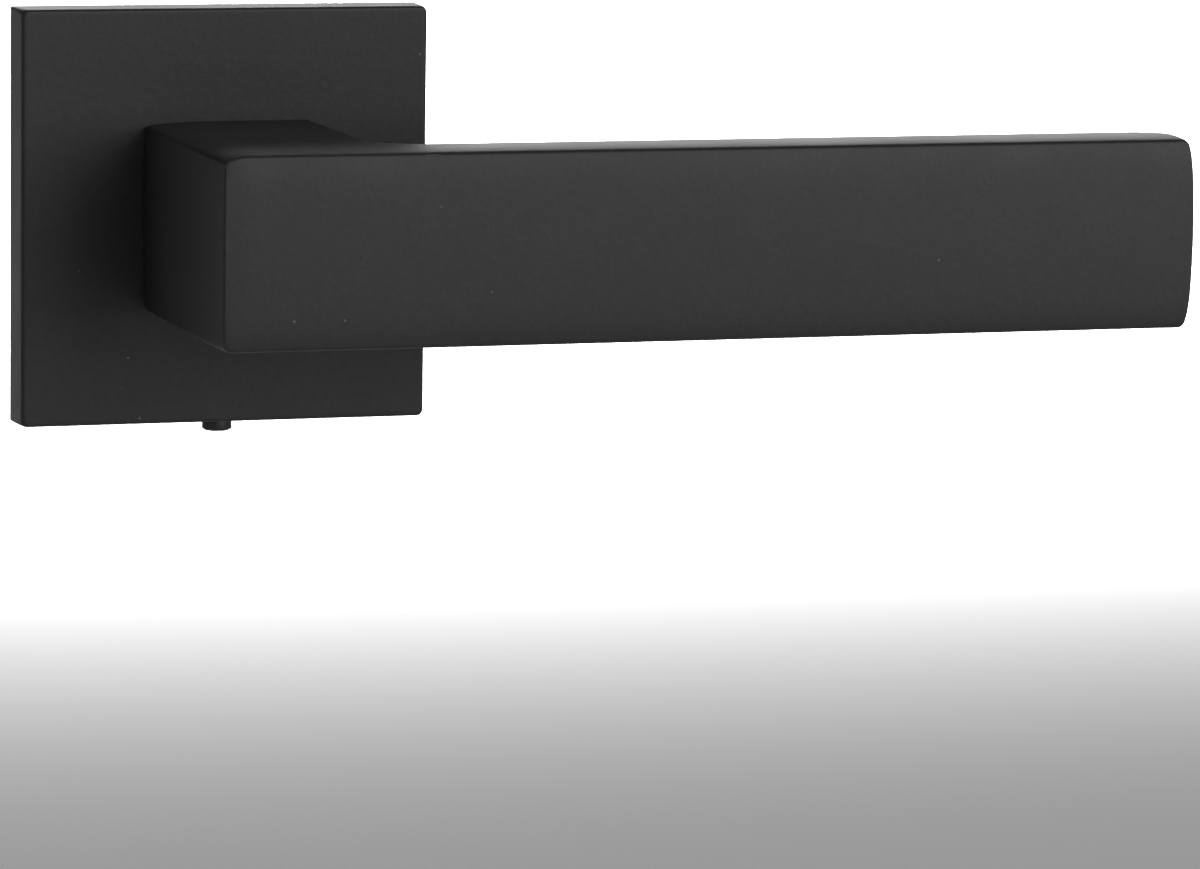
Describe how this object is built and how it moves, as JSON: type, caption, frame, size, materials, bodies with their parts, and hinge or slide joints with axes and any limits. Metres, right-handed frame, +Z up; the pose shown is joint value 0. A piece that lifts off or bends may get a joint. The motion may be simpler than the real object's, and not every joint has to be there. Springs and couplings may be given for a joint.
{
  "type": "door lever handle",
  "caption": "Flat square-section door lever turning on a square rose, with its spindle, return spring, stops and fixings.",
  "frame": {"origin": "on the spindle's axis, in the plane of the door's face", "axes": "+X from the spindle towards the lever's tip, +Y into the door, +Z up"},
  "size_m": [0.1399, 0.1155, 0.0535],
  "materials": {
    "powder_coat": "fine matte black powder coat",
    "black_screw": "blackened steel",
    "bright_zinc": "bright zinc plated steel",
    "plain_steel": "plain machined steel",
    "spring_steel": "oiled spring steel",
    "zinc_casting": "raw zinc die casting",
    "bronze": "sintered bronze",
    "nylon": "moulded nylon"
  },
  "bodies": {
    "rose": {"rose_cover": "powder_coat", "cover_set_screw": "black_screw", "bearing_ring": "nylon", "mounting_plate": "zinc_casting", "driver_bush": "bronze", "return_spring": "spring_steel", "wave_washer": "spring_steel", "lug_left": "plain_steel", "lug_right": "plain_steel", "fixing_sleeve_left": "bright_zinc", "fixing_sleeve_right": "bright_zinc", "wood_screw_1": "bright_zinc", "wood_screw_2": "bright_zinc", "wood_screw_3": "bright_zinc", "wood_screw_4": "bright_zinc"},
    "lever": {"lever_handle": "powder_coat", "spindle": "bright_zinc", "spindle_grub_screw": "black_screw", "spring_driver": "plain_steel", "driver_circlip": "spring_steel"}
  },
  "joints": [
    {"name": "lever_turn", "type": "hinge", "parent": "rose", "child": "lever", "pos_m": [0, 0, 0], "axis": [0, 1, 0], "range_deg": [0, 45], "stiffness_Nm_per_rad": 0.15, "springref_deg": -57.3, "deforming": ["return_spring"]}
  ]
}
